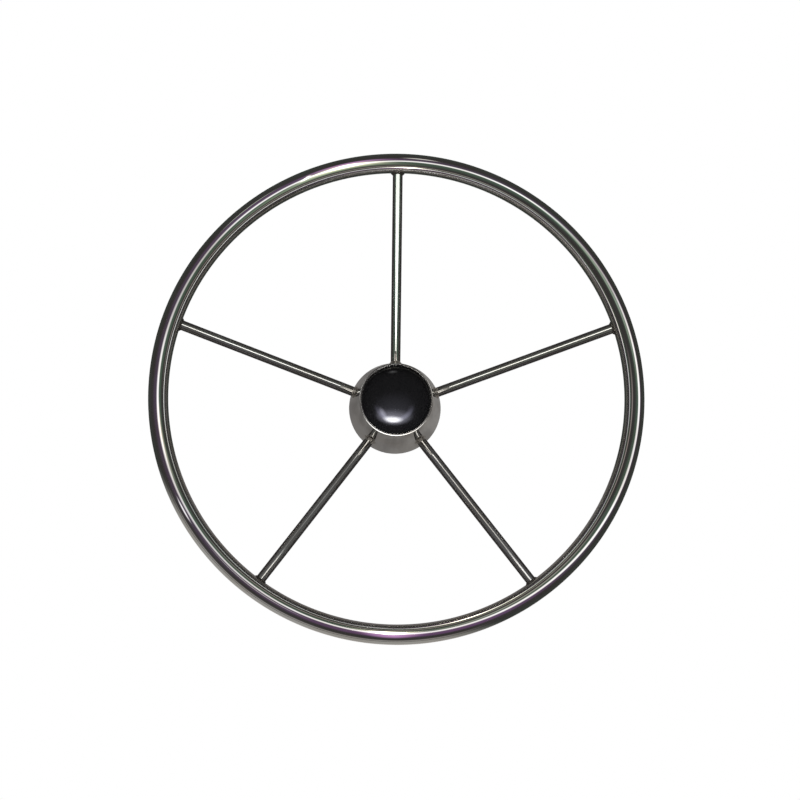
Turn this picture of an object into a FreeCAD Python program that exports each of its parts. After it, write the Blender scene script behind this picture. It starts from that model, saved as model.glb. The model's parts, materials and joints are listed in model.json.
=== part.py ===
import FreeCAD
import Part
import Sketcher
import math
import os
from FreeCAD import Placement, Rotation, Vector

# Stainless boat steering wheel with five spokes, in millimetres.
# Frame: the shaft axis is Y. The driver looks along +Y at the front, X is to the right and Z is up.
# The origin is on the axis at the back face of the boss, and the first spoke points straight up.
# Each body is drawn in the plane of its own spoke, radius along X and depth along Y, then turned up.

# Driving dimensions: alias, value and meaning. Lengths are in mm.
DRIVING_DIMENSIONS = [
    ("rim_diameter", 394.0, "outside diameter of the rim"),
    ("tube_diameter", 16.0, "rim tube, outside"),
    ("tube_wall", 1.5, "rim tube, wall"),
    ("dish", 66.0, "rim's middle plane in front of the boss's back face"),
    ("spoke_count", 5, "number of spokes"),
    ("spoke_diameter", 8.0, "solid round rod"),
    ("spoke_fit", 0.1, "gap round a rod in its holes"),
    ("spoke_reach", 1.5, "how far a rod's end stands inside the wall it enters"),
    ("root_depth", 10.5, "spoke's centre line at the shell, in front of the boss's back face"),
    ("rim_weld_leg", 2.0, "fillet bead round a rod at the rim"),
    ("hub_weld_leg", 1.8, "fillet bead round a rod at the hub"),
    ("lip_diameter", 59.4, "front end of the hub shell"),
    ("base_diameter", 76.0, "back end of the hub shell"),
    ("shell_length", 49.5, "hub shell from lip to back edge"),
    ("shell_wall", 2.0, "hub shell, wall"),
    ("back_skirt", 6.0, "how far the shell reaches behind the boss"),
    ("lip_width", 1.2, "bright land round the cap"),
    ("rebate_depth", 1.5, "step inside the lip where the cap sits"),
    ("edge_round", 0.4, "rounding of the shell's edges"),
    ("cap_gap", 0.3, "gap round the cap in the shell's mouth"),
    ("cap_edge", 0.8, "straight edge of the cap in front of the lip"),
    ("cap_height", 10.5, "dome in front of that edge"),
    ("cap_shoulder", 1.4, "rounding between dome and edge"),
    ("cap_wall", 2.2, "moulded wall"),
    ("skirt_length", 8.0, "legs behind the cap's seat"),
    ("skirt_slots", 6, "slots that part the skirt into legs"),
    ("slot_width", 3.0, "width of one slot"),
    ("web_gap", 3.0, "room between the cap's legs and the web"),
    ("web_thickness", 3.0, "disc between shell and boss"),
    ("web_fit", 0.1, "gap round the web and in its hole, closed by the welds"),
    ("web_weld_leg", 3.0, "ring bead between web and shell"),
    ("bead_gap", 0.02, "gap between that bead and the shell's cone"),
    ("boss_weld_leg", 2.5, "ring bead between web and boss"),
    ("boss_diameter", 34.0, "boss behind the web"),
    ("nose_diameter", 30.0, "boss in the web's hole and in front of it"),
    ("nose_length", 4.0, "boss in front of the web, up to the nut's seat"),
    ("boss_chamfer", 1.0, "chamfer on the boss's two outer edges"),
    ("bore_diameter", 19.05, "large end of the shaft taper, three quarters of an inch"),
    ("taper_run", 12.0, "the taper loses 1 mm of diameter in this length"),
    ("mouth_diameter", 20.0, "parallel relief at the back of the bore"),
    ("mouth_depth", 3.0, "length of that relief"),
    ("key_width", 4.76, "keyway, three sixteenths of an inch"),
    ("key_depth", 2.3, "keyway beyond the taper's large end"),
]

# Places worked out from the driving dimensions: radii, and depths along the axis (front is negative).
PLACES = [
    ("tube_radius", "sizes.tube_diameter / 2"),
    ("tube_inside", "tube_radius - sizes.tube_wall"),
    ("rim_radius", "sizes.rim_diameter / 2 - tube_radius"),
    ("rim_plane", "-sizes.dish"),
    ("lip_radius", "sizes.lip_diameter / 2"),
    ("base_radius", "sizes.base_diameter / 2"),
    ("base_plane", "sizes.back_skirt"),
    ("lip_plane", "base_plane - sizes.shell_length"),
    ("flare", "(base_radius - lip_radius) / sizes.shell_length"),
    ("base_inside", "base_radius - sizes.shell_wall"),
    ("mouth_inside", "lip_radius - sizes.shell_wall"),
    ("rebate_radius", "lip_radius - sizes.lip_width"),
    ("seat_plane", "lip_plane + sizes.rebate_depth"),
    ("seat_inside", "mouth_inside + flare * sizes.rebate_depth"),
    ("root_plane", "-sizes.root_depth"),
    ("root_radius", "lip_radius + flare * (root_plane - lip_plane)"),
    ("spoke_run", "sqrt((rim_radius - root_radius) ^ 2 + (rim_plane - root_plane) ^ 2)"),
    ("rod_radius", "sizes.spoke_diameter / 2"),
    ("hole_radius", "rod_radius + sizes.spoke_fit"),
    ("rod_start", "tube_inside - sizes.spoke_reach"),
    ("rod_end", "spoke_run + sizes.shell_wall + sizes.spoke_reach"),
    ("rim_hole_start", "tube_inside / 2"),
    ("rim_hole_end", "tube_radius + sizes.tube_wall"),
    ("hub_hole_start", "spoke_run - sizes.spoke_diameter"),
    ("hub_hole_end", "spoke_run + sizes.shell_wall + sizes.spoke_diameter"),
    ("rim_stub_end", "tube_radius + sizes.rim_weld_leg + sizes.spoke_diameter"),
    ("hub_stub_start", "spoke_run - sizes.hub_weld_leg - sizes.spoke_diameter"),
    ("core_radius", "root_radius - 2 * sizes.spoke_diameter"),
    ("cap_radius", "rebate_radius - sizes.cap_gap"),
    ("skirt_radius", "mouth_inside - sizes.cap_gap"),
    ("skirt_inside", "skirt_radius - sizes.cap_wall"),
    ("skirt_end", "seat_plane + sizes.skirt_length"),
    ("edge_plane", "lip_plane - sizes.cap_edge"),
    ("apex_plane", "edge_plane - sizes.cap_height"),
    ("apex_inside", "apex_plane + sizes.cap_wall"),
    ("slot_inside", "skirt_inside - sizes.cap_wall"),
    ("slot_outside", "skirt_radius + sizes.cap_wall"),
    ("slot_start", "seat_plane + sizes.rebate_depth"),
    ("slot_end", "skirt_end + sizes.cap_wall"),
    ("web_front", "skirt_end + sizes.web_gap"),
    ("web_back", "web_front + sizes.web_thickness"),
    ("shell_at_web_back", "mouth_inside + flare * (web_back - lip_plane)"),
    ("shell_at_web_front", "mouth_inside + flare * (web_front - lip_plane)"),
    ("web_edge_back", "shell_at_web_back - sizes.web_fit"),
    ("web_edge_front", "shell_at_web_front - sizes.web_fit"),
    ("web_weld_inside", "shell_at_web_back - sizes.web_weld_leg"),
    ("web_weld_back", "web_back + sizes.web_weld_leg"),
    ("web_weld_front", "shell_at_web_back - sizes.bead_gap"),
    ("web_weld_outside", "web_weld_front + flare * sizes.web_weld_leg"),
    ("nose_radius", "sizes.nose_diameter / 2"),
    ("web_hole", "nose_radius + sizes.web_fit"),
    ("nose_plane", "web_front - sizes.nose_length"),
    ("boss_weld_outside", "nose_radius + sizes.boss_weld_leg"),
    ("boss_weld_front", "web_front - sizes.boss_weld_leg"),
    ("boss_radius", "sizes.boss_diameter / 2"),
    ("mouth_radius", "sizes.mouth_diameter / 2"),
    ("mouth_plane", "-sizes.mouth_depth"),
    ("bore_radius", "sizes.bore_diameter / 2"),
    ("bore_small", "bore_radius + (nose_plane - mouth_plane) / (2 * sizes.taper_run)"),
    ("key_inside", "bore_small / 2"),
    ("key_outside", "bore_radius + sizes.key_depth"),
    ("key_front", "nose_plane - sizes.key_depth"),
    ("key_back", "sizes.key_depth"),
]

FULL_TURN = 360
FIRST_SPOKE = -90
TUBE_SEGMENT = 16
SHELL_SEGMENT = 60
TOUCH = 0.001


def fill_sheets(doc):
    """The sheet of driving dimensions, and a second one with the places that follow from them."""
    sizes = doc.addObject("Spreadsheet::Sheet", "sizes")
    for row, (alias, number, meaning) in enumerate(DRIVING_DIMENSIONS, start=1):
        sizes.set(f"A{row}", alias)
        sizes.set(f"B{row}", str(number))
        sizes.set(f"C{row}", meaning)
        sizes.setAlias(f"B{row}", alias)
    doc.recompute()
    places = doc.addObject("Spreadsheet::Sheet", "places")
    for row, (alias, formula) in enumerate(PLACES, start=1):
        places.set(f"A{row}", alias)
        places.set(f"B{row}", "=" + formula)
        places.setAlias(f"B{row}", alias)
    doc.recompute()
    return sizes, places


def new_body(name):
    """An empty body, turned so that its first spoke direction points up."""
    body = doc.addObject("PartDesign::Body", name)
    body.Label = name
    body.Placement = Placement(Vector(), Rotation(Vector(0, 1, 0), FIRST_SPOKE))
    return body


def turn_to_spoke(body, number):
    """Turns a body to spoke number 1, 2 and so on, clockwise for the driver."""
    step = f"{FULL_TURN} / sizes.spoke_count * {number - 1}"
    body.setExpression(".Placement.Rotation.Angle", f"{FIRST_SPOKE} + {step}")


def new_sketch(body, name):
    """A sketch on the body's plane of radius and depth."""
    sketch = body.newObject("Sketcher::SketchObject", name)
    planes = [plane for plane in body.Origin.OriginFeatures if plane.Role == "XY_Plane"]
    sketch.AttachmentSupport = (planes[0], [""])
    sketch.MapMode = "FlatFace"
    return sketch


def pin(sketch, curve, end, radius, depth):
    """Holds one end of a curve at a named radius and depth, or on an axis where the name is None."""
    on_curve, origin, depth_axis, radius_axis = (curve, end), (-1, 1), -2, -1
    if radius is None:
        sketch.addConstraint(Sketcher.Constraint("PointOnObject", *on_curve, depth_axis))
    else:
        index = sketch.addConstraint(
            Sketcher.Constraint("DistanceX", *origin, *on_curve, places.get(radius)))
        sketch.setExpression(f"Constraints[{index}]", f"places.{radius}")
    if depth is None:
        sketch.addConstraint(Sketcher.Constraint("PointOnObject", *on_curve, radius_axis))
    else:
        index = sketch.addConstraint(
            Sketcher.Constraint("DistanceY", *origin, *on_curve, places.get(depth)))
        sketch.setExpression(f"Constraints[{index}]", f"places.{depth}")


def corner_point(radius, depth):
    """The numbers behind a named corner."""
    return Vector(places.get(radius) if radius else 0, places.get(depth) if depth else 0, 0)


def dome_arc(start, end):
    """The arc between two points whose centre lies on the axis, and whether it runs from end to start."""
    rise = end.y - start.y
    centre_depth = (end.x ** 2 - start.x ** 2 + end.y ** 2 - start.y ** 2) / (2 * rise)
    centre = Vector(0, centre_depth, 0)
    angles = [math.atan2(point.y - centre_depth, point.x) for point in (start, end)]
    circle = Part.Circle(centre, Vector(0, 0, 1), (start - centre).Length)
    backwards = angles[0] > angles[1]
    return Part.ArcOfCircle(circle, min(angles), max(angles)), backwards


def outline(body, name, corners, domes=()):
    """A closed outline through named corners. A side listed in domes is an arc centred on the axis."""
    sketch = new_sketch(body, name)
    points = [corner_point(*corner) for corner in corners]
    first_ends = []
    last_ends = []
    for side, start in enumerate(points):
        end = points[(side + 1) % len(points)]
        if side in domes:
            arc, backwards = dome_arc(start, end)
            curve = sketch.addGeometry(arc)
            sketch.addConstraint(Sketcher.Constraint("PointOnObject", curve, 3, -2))
            first_ends.append((curve, 2 if backwards else 1))
            last_ends.append((curve, 1 if backwards else 2))
        else:
            curve = sketch.addGeometry(Part.LineSegment(start, end))
            first_ends.append((curve, 1))
            last_ends.append((curve, 2))
    for side, last_end in enumerate(last_ends):
        following = first_ends[(side + 1) % len(points)]
        sketch.addConstraint(Sketcher.Constraint("Coincident", *last_end, *following))
    for first_end, corner in zip(first_ends, corners):
        pin(sketch, *first_end, *corner)
    return sketch


def tube_circle(body, name, radius):
    """The rim tube's section."""
    sketch = new_sketch(body, name)
    centre = corner_point("rim_radius", "rim_plane")
    circle = sketch.addGeometry(Part.Circle(centre, Vector(0, 0, 1), places.get(radius)))
    pin(sketch, circle, 3, "rim_radius", "rim_plane")
    index = sketch.addConstraint(Sketcher.Constraint("Radius", circle, places.get(radius)))
    sketch.setExpression(f"Constraints[{index}]", f"places.{radius}")
    return sketch


def rod_outline(body, name, start, end, radius):
    """Half of a round rod along the spoke's centre line, from start to end.

    Both are distances from the middle of the rim tube towards the hub.
    """
    sketch = new_sketch(body, name)
    rim_point = corner_point("rim_radius", "rim_plane")
    root_point = corner_point("root_radius", "root_plane")
    inward = (root_point - rim_point).normalize()
    across = Vector(-inward.y, inward.x, 0)
    thickness = places.get(radius)
    near = rim_point + inward * places.get(start)
    far = rim_point + inward * places.get(end)
    corners = [near, far, far + across * thickness, near + across * thickness]
    for side in range(4):
        sketch.addGeometry(Part.LineSegment(corners[side], corners[(side + 1) % 4]))
    centre_line = sketch.addGeometry(Part.LineSegment(rim_point, root_point), True)
    pin(sketch, centre_line, 1, "rim_radius", "rim_plane")
    pin(sketch, centre_line, 2, "root_radius", "root_plane")
    for side in range(4):
        sketch.addConstraint(Sketcher.Constraint("Coincident", side, 2, (side + 1) % 4, 1))
    for side in (1, 3):
        sketch.addConstraint(Sketcher.Constraint("Perpendicular", side, 0))
    sketch.addConstraint(Sketcher.Constraint("Parallel", 2, 0))
    for line_end in (1, 2):
        sketch.addConstraint(Sketcher.Constraint("PointOnObject", 0, line_end, centre_line))
    for line_end, distance in ((1, start), (2, end)):
        index = sketch.addConstraint(
            Sketcher.Constraint("Distance", centre_line, 1, 0, line_end, places.get(distance)))
        sketch.setExpression(f"Constraints[{index}]", f"places.{distance}")
    index = sketch.addConstraint(Sketcher.Constraint("Distance", 1, thickness))
    sketch.setExpression(f"Constraints[{index}]", f"places.{radius}")
    return sketch


def turned(body, kind, name, sketch, axis="V_Axis", angle=FULL_TURN):
    """A revolution or groove of a sketch, evenly to both sides of its plane."""
    feature = body.newObject(kind, name)
    feature.Profile = sketch
    feature.ReferenceAxis = (sketch, [axis])
    feature.Angle = angle
    feature.Midplane = True
    doc.recompute()
    return feature


def revolve(body, name, sketch, axis="V_Axis", angle=FULL_TURN):
    return turned(body, "PartDesign::Revolution", name, sketch, axis, angle)


def groove(body, name, sketch, axis="V_Axis", angle=FULL_TURN):
    before = body.Shape.Volume
    feature = turned(body, "PartDesign::Groove", name, sketch, axis, angle)
    if body.Shape.Volume >= before:
        raise ValueError(f"{body.Label}: {name} cuts nothing")
    return feature


def pattern(body, name, original, sketch, count):
    """Repeats a feature round the shaft axis, as many times as the named size says."""
    feature = body.newObject("PartDesign::PolarPattern", name)
    feature.Originals = [original]
    feature.Axis = (sketch, ["V_Axis"])
    feature.Angle = FULL_TURN
    feature.Occurrences = int(sizes.get(count))
    feature.setExpression("Occurrences", f"sizes.{count}")
    body.Tip = feature
    doc.recompute()
    return feature


def dressed_edges(body, kind, name, base, chosen, property_name, size):
    """A fillet or chamfer of the chosen edges of the last feature, bound to a named size."""
    edges = [f"Edge{index}" for index, edge in enumerate(base.Shape.Edges, start=1) if chosen(edge)]
    if not edges:
        raise ValueError(f"{body.Label}: {name} finds no edge")
    feature = body.newObject(kind, name)
    feature.Base = (base, edges)
    setattr(feature, property_name, sizes.get(size))
    feature.setExpression(property_name, f"sizes.{size}")
    doc.recompute()
    return feature


def is_ring(edge, radius, plane):
    """True for a circle round the shaft axis with this radius at this depth."""
    if edge.Degenerated or not isinstance(edge.Curve, Part.Circle):
        return False
    centre = edge.Curve.Center
    same_radius = abs(edge.Curve.Radius - places.get(radius)) < TOUCH
    depth = places.get(plane) if plane else 0
    return same_radius and abs(centre.y - depth) < TOUCH


def distance_from_spoke_line(point):
    """How far a point lies from the first spoke's centre line."""
    rim_point = corner_point("rim_radius", "rim_plane")
    inward = (corner_point("root_radius", "root_plane") - rim_point).normalize()
    offset = point - rim_point
    return (offset - inward * offset.dot(inward)).Length


def is_joint_edge(edge, distance_to_surface):
    """True for an edge where the rod's round side meets the surface it enters from outside."""
    middle = edge.valueAt((edge.FirstParameter + edge.LastParameter) / 2)
    on_rod = abs(distance_from_spoke_line(middle) - places.get("rod_radius")) < TOUCH
    return on_rod and abs(distance_to_surface(middle)) < TOUCH


def distance_to_tube(point):
    """How far a point lies outside the rim tube's surface."""
    from_axis = math.hypot(point.x, point.z)
    from_ring = math.hypot(from_axis - places.get("rim_radius"), point.y - places.get("rim_plane"))
    return from_ring - places.get("tube_radius")


def distance_to_shell(point):
    """How far a point lies outside the hub shell's surface, along its radius."""
    shell_radius = places.get("lip_radius") + places.get("flare") * (point.y - places.get("lip_plane"))
    return math.hypot(point.x, point.z) - shell_radius


# Shell profile of the hub, shared by the shell and by the stubs that shape its beads
SHELL_OUTSIDE = [("lip_radius", "lip_plane"), ("base_radius", "base_plane")]


def make_rim_tube():
    """One round tube bent to a ring, with a drilled hole for each rod in its inner side."""
    body = new_body("rim_tube")
    section = tube_circle(body, "rim_outside", "tube_radius")
    revolve(body, "rim_ring", section)
    hollow = tube_circle(body, "rim_hollow", "tube_inside")
    groove(body, "rim_bore", hollow)
    drill = rod_outline(body, "rim_drill", "rim_hole_start", "rim_hole_end", "hole_radius")
    hole = groove(body, "rim_hole", drill, "Axis0")
    pattern(body, "rim_holes", hole, drill, "spoke_count")


def make_spoke(number):
    """One straight rod, from inside the rim tube to inside the hub shell."""
    body = new_body(f"spoke_{number}")
    turn_to_spoke(body, number)
    rod = rod_outline(body, f"rod_outline_{number}", "rod_start", "rod_end", "rod_radius")
    revolve(body, f"rod_{number}", rod, "Axis0")


def make_rim_weld(number):
    """The bead round a rod on the rim tube: a fillet between both, without either of them."""
    body = new_body(f"rim_weld_{number}")
    turn_to_spoke(body, number)
    section = tube_circle(body, f"tube_section_{number}", "tube_radius")
    revolve(body, f"tube_piece_{number}", section, angle=TUBE_SEGMENT)
    stub = rod_outline(body, f"rim_stub_{number}", "rod_start", "rim_stub_end", "rod_radius")
    joined = revolve(body, f"rim_stub_rod_{number}", stub, "Axis0")
    dressed_edges(body, "PartDesign::Fillet", f"rim_fillet_{number}", joined,
                  lambda edge: is_joint_edge(edge, distance_to_tube), "Radius", "rim_weld_leg")
    away = rod_outline(body, f"rim_stub_away_{number}", "rim_hole_start", "hub_hole_start", "rod_radius")
    groove(body, f"without_rim_stub_{number}", away, "Axis0")
    groove(body, f"without_tube_{number}", tube_circle(body, f"tube_away_{number}", "tube_radius"))


def make_hub_weld(number):
    """The bead round a rod on the hub shell: a fillet between both, without either of them."""
    body = new_body(f"hub_weld_{number}")
    turn_to_spoke(body, number)
    solid_section = SHELL_OUTSIDE + [("core_radius", "base_plane"), ("core_radius", "lip_plane")]
    section = outline(body, f"shell_section_{number}", solid_section)
    revolve(body, f"shell_piece_{number}", section, angle=SHELL_SEGMENT)
    stub = rod_outline(body, f"hub_stub_{number}", "hub_stub_start", "rod_end", "rod_radius")
    joined = revolve(body, f"hub_stub_rod_{number}", stub, "Axis0")
    dressed_edges(body, "PartDesign::Fillet", f"hub_fillet_{number}", joined,
                  lambda edge: is_joint_edge(edge, distance_to_shell), "Radius", "hub_weld_leg")
    away = rod_outline(body, f"hub_stub_away_{number}", "rim_stub_end", "hub_hole_end", "rod_radius")
    groove(body, f"without_hub_stub_{number}", away, "Axis0")
    groove(body, f"without_shell_{number}", outline(body, f"shell_away_{number}", solid_section))


def make_hub_shell():
    """Spun conical shell, open at the back, with a lip and a step for the cap at the front."""
    body = new_body("hub_shell")
    section = outline(body, "shell_section", SHELL_OUTSIDE + [
        ("base_inside", "base_plane"),
        ("seat_inside", "seat_plane"),
        ("rebate_radius", "seat_plane"),
        ("rebate_radius", "lip_plane"),
    ])
    cone = revolve(body, "shell_cone", section)
    rings = [("lip_radius", "lip_plane"), ("base_radius", "base_plane"), ("base_inside", "base_plane")]
    dressed_edges(body, "PartDesign::Fillet", "shell_edges", cone,
                  lambda edge: any(is_ring(edge, *ring) for ring in rings), "Radius", "edge_round")
    drill = rod_outline(body, "shell_drill", "hub_hole_start", "hub_hole_end", "hole_radius")
    hole = groove(body, "shell_hole", drill, "Axis0")
    pattern(body, "shell_holes", hole, drill, "spoke_count")


def make_hub_web():
    """Disc with a tapered edge that sits in the shell's cone and carries the boss."""
    body = new_body("hub_web")
    section = outline(body, "web_section", [
        ("web_hole", "web_back"),
        ("web_edge_back", "web_back"),
        ("web_edge_front", "web_front"),
        ("web_hole", "web_front"),
    ])
    revolve(body, "web_disc", section)


def make_ring_welds():
    """The two ring beads: web to shell behind the web, and web to boss in front of it."""
    body = new_body("web_weld")
    section = outline(body, "web_bead_section", [
        ("web_weld_front", "web_back"),
        ("web_weld_outside", "web_weld_back"),
        ("web_weld_inside", "web_back"),
    ])
    revolve(body, "web_bead", section)
    body = new_body("boss_weld")
    section = outline(body, "boss_bead_section", [
        ("nose_radius", "web_front"),
        ("boss_weld_outside", "web_front"),
        ("nose_radius", "boss_weld_front"),
    ])
    revolve(body, "boss_bead", section)


def make_hub_boss():
    """Turned boss: shoulder on the web, tapered bore with a parallel mouth, and a keyway."""
    body = new_body("hub_boss")
    section = outline(body, "boss_section", [
        ("mouth_radius", None),
        ("boss_radius", None),
        ("boss_radius", "web_back"),
        ("nose_radius", "web_back"),
        ("nose_radius", "nose_plane"),
        ("bore_small", "nose_plane"),
        ("bore_radius", "mouth_plane"),
        ("mouth_radius", "mouth_plane"),
    ])
    blank = revolve(body, "boss_blank", section)
    rings = [("boss_radius", None), ("nose_radius", "nose_plane")]
    dressed_edges(body, "PartDesign::Chamfer", "boss_edges", blank,
                  lambda edge: any(is_ring(edge, *ring) for ring in rings), "Size", "boss_chamfer")
    slot = outline(body, "key_section", [
        ("key_inside", "key_back"),
        ("key_outside", "key_back"),
        ("key_outside", "key_front"),
        ("key_inside", "key_front"),
    ])
    cut_across(body, "keyway", slot, "key_width")


def cut_across(body, name, sketch, width):
    """Cuts a sketch's outline through the body, half of the named width to each side of its plane."""
    before = body.Shape.Volume
    feature = body.newObject("PartDesign::Pocket", name)
    feature.Profile = sketch
    feature.Midplane = True
    feature.Length = sizes.get(width)
    feature.setExpression("Length", f"sizes.{width}")
    doc.recompute()
    if body.Shape.Volume >= before:
        raise ValueError(f"{body.Label}: {name} cuts nothing")
    return feature


def make_centre_cap():
    """Moulded domed cap: an edge that sits on the shell's step, and a skirt parted into legs."""
    body = new_body("centre_cap")
    section = outline(body, "cap_section", [
        (None, "apex_plane"),
        ("cap_radius", "edge_plane"),
        ("cap_radius", "seat_plane"),
        ("skirt_radius", "seat_plane"),
        ("skirt_radius", "skirt_end"),
        ("skirt_inside", "skirt_end"),
        ("skirt_inside", "edge_plane"),
        (None, "apex_inside"),
    ], domes=(0, 6))
    dome = revolve(body, "cap_dome", section)
    dressed_edges(body, "PartDesign::Fillet", "cap_shoulder_edge", dome,
                  lambda edge: is_ring(edge, "cap_radius", "edge_plane"), "Radius", "cap_shoulder")
    slot = outline(body, "slot_section", [
        ("slot_inside", "slot_start"),
        ("slot_outside", "slot_start"),
        ("slot_outside", "slot_end"),
        ("slot_inside", "slot_end"),
    ])
    first_slot = cut_across(body, "skirt_slot", slot, "slot_width")
    pattern(body, "skirt_slots", first_slot, slot, "skirt_slots")


def check_objects():
    """Stops if any object failed, or a body's shape is null, invalid or not one solid."""
    for item in doc.Objects:
        if "Invalid" in item.State or "Error" in item.State:
            raise ValueError(f"{item.Name} failed: {item.State}")
    for body in bodies():
        if body.Shape.isNull() or not body.Shape.isValid():
            raise ValueError(f"{body.Label} has no valid shape")
        if len(body.Shape.Solids) != 1:
            raise ValueError(f"{body.Label} has {len(body.Shape.Solids)} solids")


def bodies():
    return [item for item in doc.Objects if item.TypeId == "PartDesign::Body"]


doc = FreeCAD.newDocument("steering_wheel")
sizes, places = fill_sheets(doc)
make_rim_tube()
for spoke_number in range(1, int(sizes.get("spoke_count")) + 1):
    make_spoke(spoke_number)
    make_rim_weld(spoke_number)
    make_hub_weld(spoke_number)
make_hub_shell()
make_hub_web()
make_ring_welds()
make_hub_boss()
make_centre_cap()
doc.recompute()
check_objects()

os.makedirs("parts", exist_ok=True)
for body in bodies():
    body.Shape.exportStep(f"parts/{body.Label}.step")
    print(f"{body.Label}: {body.Shape.Volume:.1f} mm3")
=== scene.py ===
"""Looks of the stainless boat steering wheel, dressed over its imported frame.

Everything is in metres in the frame of the CAD model: the shaft axis is Y, the driver looks along +Y,
X is to the right and Z is up.
"""

import json
import math

import bmesh
import bpy
from mathutils import Matrix, Vector

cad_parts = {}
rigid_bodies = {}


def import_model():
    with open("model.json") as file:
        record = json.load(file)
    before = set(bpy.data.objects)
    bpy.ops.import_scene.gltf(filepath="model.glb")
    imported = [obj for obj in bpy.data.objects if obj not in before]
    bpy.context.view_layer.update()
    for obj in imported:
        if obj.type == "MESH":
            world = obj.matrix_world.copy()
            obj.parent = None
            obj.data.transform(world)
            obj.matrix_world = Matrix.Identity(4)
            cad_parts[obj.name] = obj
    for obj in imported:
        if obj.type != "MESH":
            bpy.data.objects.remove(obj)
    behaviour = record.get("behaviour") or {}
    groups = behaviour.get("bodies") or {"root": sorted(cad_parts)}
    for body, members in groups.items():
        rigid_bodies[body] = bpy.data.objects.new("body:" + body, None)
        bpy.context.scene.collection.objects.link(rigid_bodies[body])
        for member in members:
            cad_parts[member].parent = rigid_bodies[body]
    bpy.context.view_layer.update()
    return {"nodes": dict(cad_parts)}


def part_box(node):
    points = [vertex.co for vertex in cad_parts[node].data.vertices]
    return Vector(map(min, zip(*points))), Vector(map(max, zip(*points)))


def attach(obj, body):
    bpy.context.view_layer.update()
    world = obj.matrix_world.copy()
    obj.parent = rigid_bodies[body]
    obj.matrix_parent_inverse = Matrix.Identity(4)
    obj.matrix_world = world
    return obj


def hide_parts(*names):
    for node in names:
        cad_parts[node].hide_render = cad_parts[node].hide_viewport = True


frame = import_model()

MM = 0.001
FULL_TURN = 2 * math.pi
AXIS = Vector((0, 1, 0))


# Sizes read from the frame, and the few of part.py's sizes that a box doesn't show

def box_size(node):
    """The lowest and the highest corner of a CAD node, as vectors."""
    low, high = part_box(node)
    return Vector(low), Vector(high)


rim_low, rim_high = box_size("rim_tube")
TUBE_RADIUS = (rim_high.y - rim_low.y) / 2
RING_RADIUS = (rim_high.x - rim_low.x) / 2 - TUBE_RADIUS
RIM_PLANE = (rim_high.y + rim_low.y) / 2

shell_low, shell_high = box_size("hub_shell")
LIP_PLANE = shell_low.y
BASE_PLANE = shell_high.y
BASE_RADIUS = (shell_high.x - shell_low.x) / 2
LIP_RADIUS = 29.7 * MM
SHELL_WALL = 2 * MM
REBATE_DEPTH = 1.5 * MM
LIP_LAND = 1.2 * MM
EDGE_ROUND = 0.4 * MM
FLARE = (BASE_RADIUS - LIP_RADIUS) / (BASE_PLANE - LIP_PLANE)

rod_low, rod_high = box_size("spoke_1")
ROD_RADIUS = (rod_high.x - rod_low.x) / 2
SPOKES = 5
ROOT_PLANE = -10.5 * MM
ROOT_RADIUS = LIP_RADIUS + FLARE * (ROOT_PLANE - LIP_PLANE)
ROD_REACH = 1.5 * MM
ROD_START = TUBE_RADIUS - 3 * MM
RIM_BEAD = 2 * MM
HUB_BEAD = 1.8 * MM

cap_low, cap_high = box_size("centre_cap")
CAP_RADIUS = (cap_high.x - cap_low.x) / 2
APEX_PLANE = cap_low.y
SKIRT_END = cap_high.y
CAP_EDGE_PLANE = LIP_PLANE - 0.8 * MM
CAP_SHOULDER = 1.4 * MM
CAP_WALL = 2.2 * MM
SKIRT_RADIUS = 27.4 * MM
SKIRT_SLOTS = 6
SLOT_WIDTH = 3 * MM
SEAT_PLANE = LIP_PLANE + REBATE_DEPTH
SLOT_PLANE = SEAT_PLANE + REBATE_DEPTH

web_low, web_high = box_size("hub_web")
WEB_BACK = web_high.y
WEB_FRONT = web_low.y
WEB_BEAD = 3 * MM
NOSE_RADIUS = 15 * MM
BOSS_BEAD = 2.5 * MM


# Meshes

def new_piece(name, points, faces, body, material, sharp=None):
    """A smooth-shaded mesh object that rides on a body and takes its finish from a slot.

    Edges bent by more than the sharp angle, in degrees, stay crisp.
    """
    mesh = bpy.data.meshes.new(name)
    mesh.from_pydata([tuple(point) for point in points], [], faces)
    mesh.validate()
    shape = bmesh.new()
    shape.from_mesh(mesh)
    bmesh.ops.recalc_face_normals(shape, faces=shape.faces)
    shape.to_mesh(mesh)
    shape.free()
    mesh.shade_smooth()
    if sharp is not None:
        mesh.set_sharp_from_angle(angle=math.radians(sharp))
    piece = bpy.data.objects.new(name, mesh)
    bpy.context.scene.collection.objects.link(piece)
    mesh.materials.append(material)
    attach(piece, body)
    return piece


def set_vectors(piece, name, values):
    """Stores one vector for each point, for the material to read."""
    attribute = piece.data.attributes.new(name, "FLOAT_VECTOR", "POINT")
    attribute.data.foreach_set("vector", [part for value in values for part in value])


def set_floats(piece, name, values):
    """Stores one number for each point, for the material to read."""
    attribute = piece.data.attributes.new(name, "FLOAT", "POINT")
    attribute.data.foreach_set("value", values)


def grid_faces(rows, columns, close_rows, close_columns):
    """Four-sided faces over a grid of points, closed round either way."""
    faces = []
    for row in range(rows if close_rows else rows - 1):
        for column in range(columns if close_columns else columns - 1):
            next_row = (row + 1) % rows
            next_column = (column + 1) % columns
            faces.append((row * columns + column, row * columns + next_column,
                          next_row * columns + next_column, next_row * columns + column))
    return faces


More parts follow.
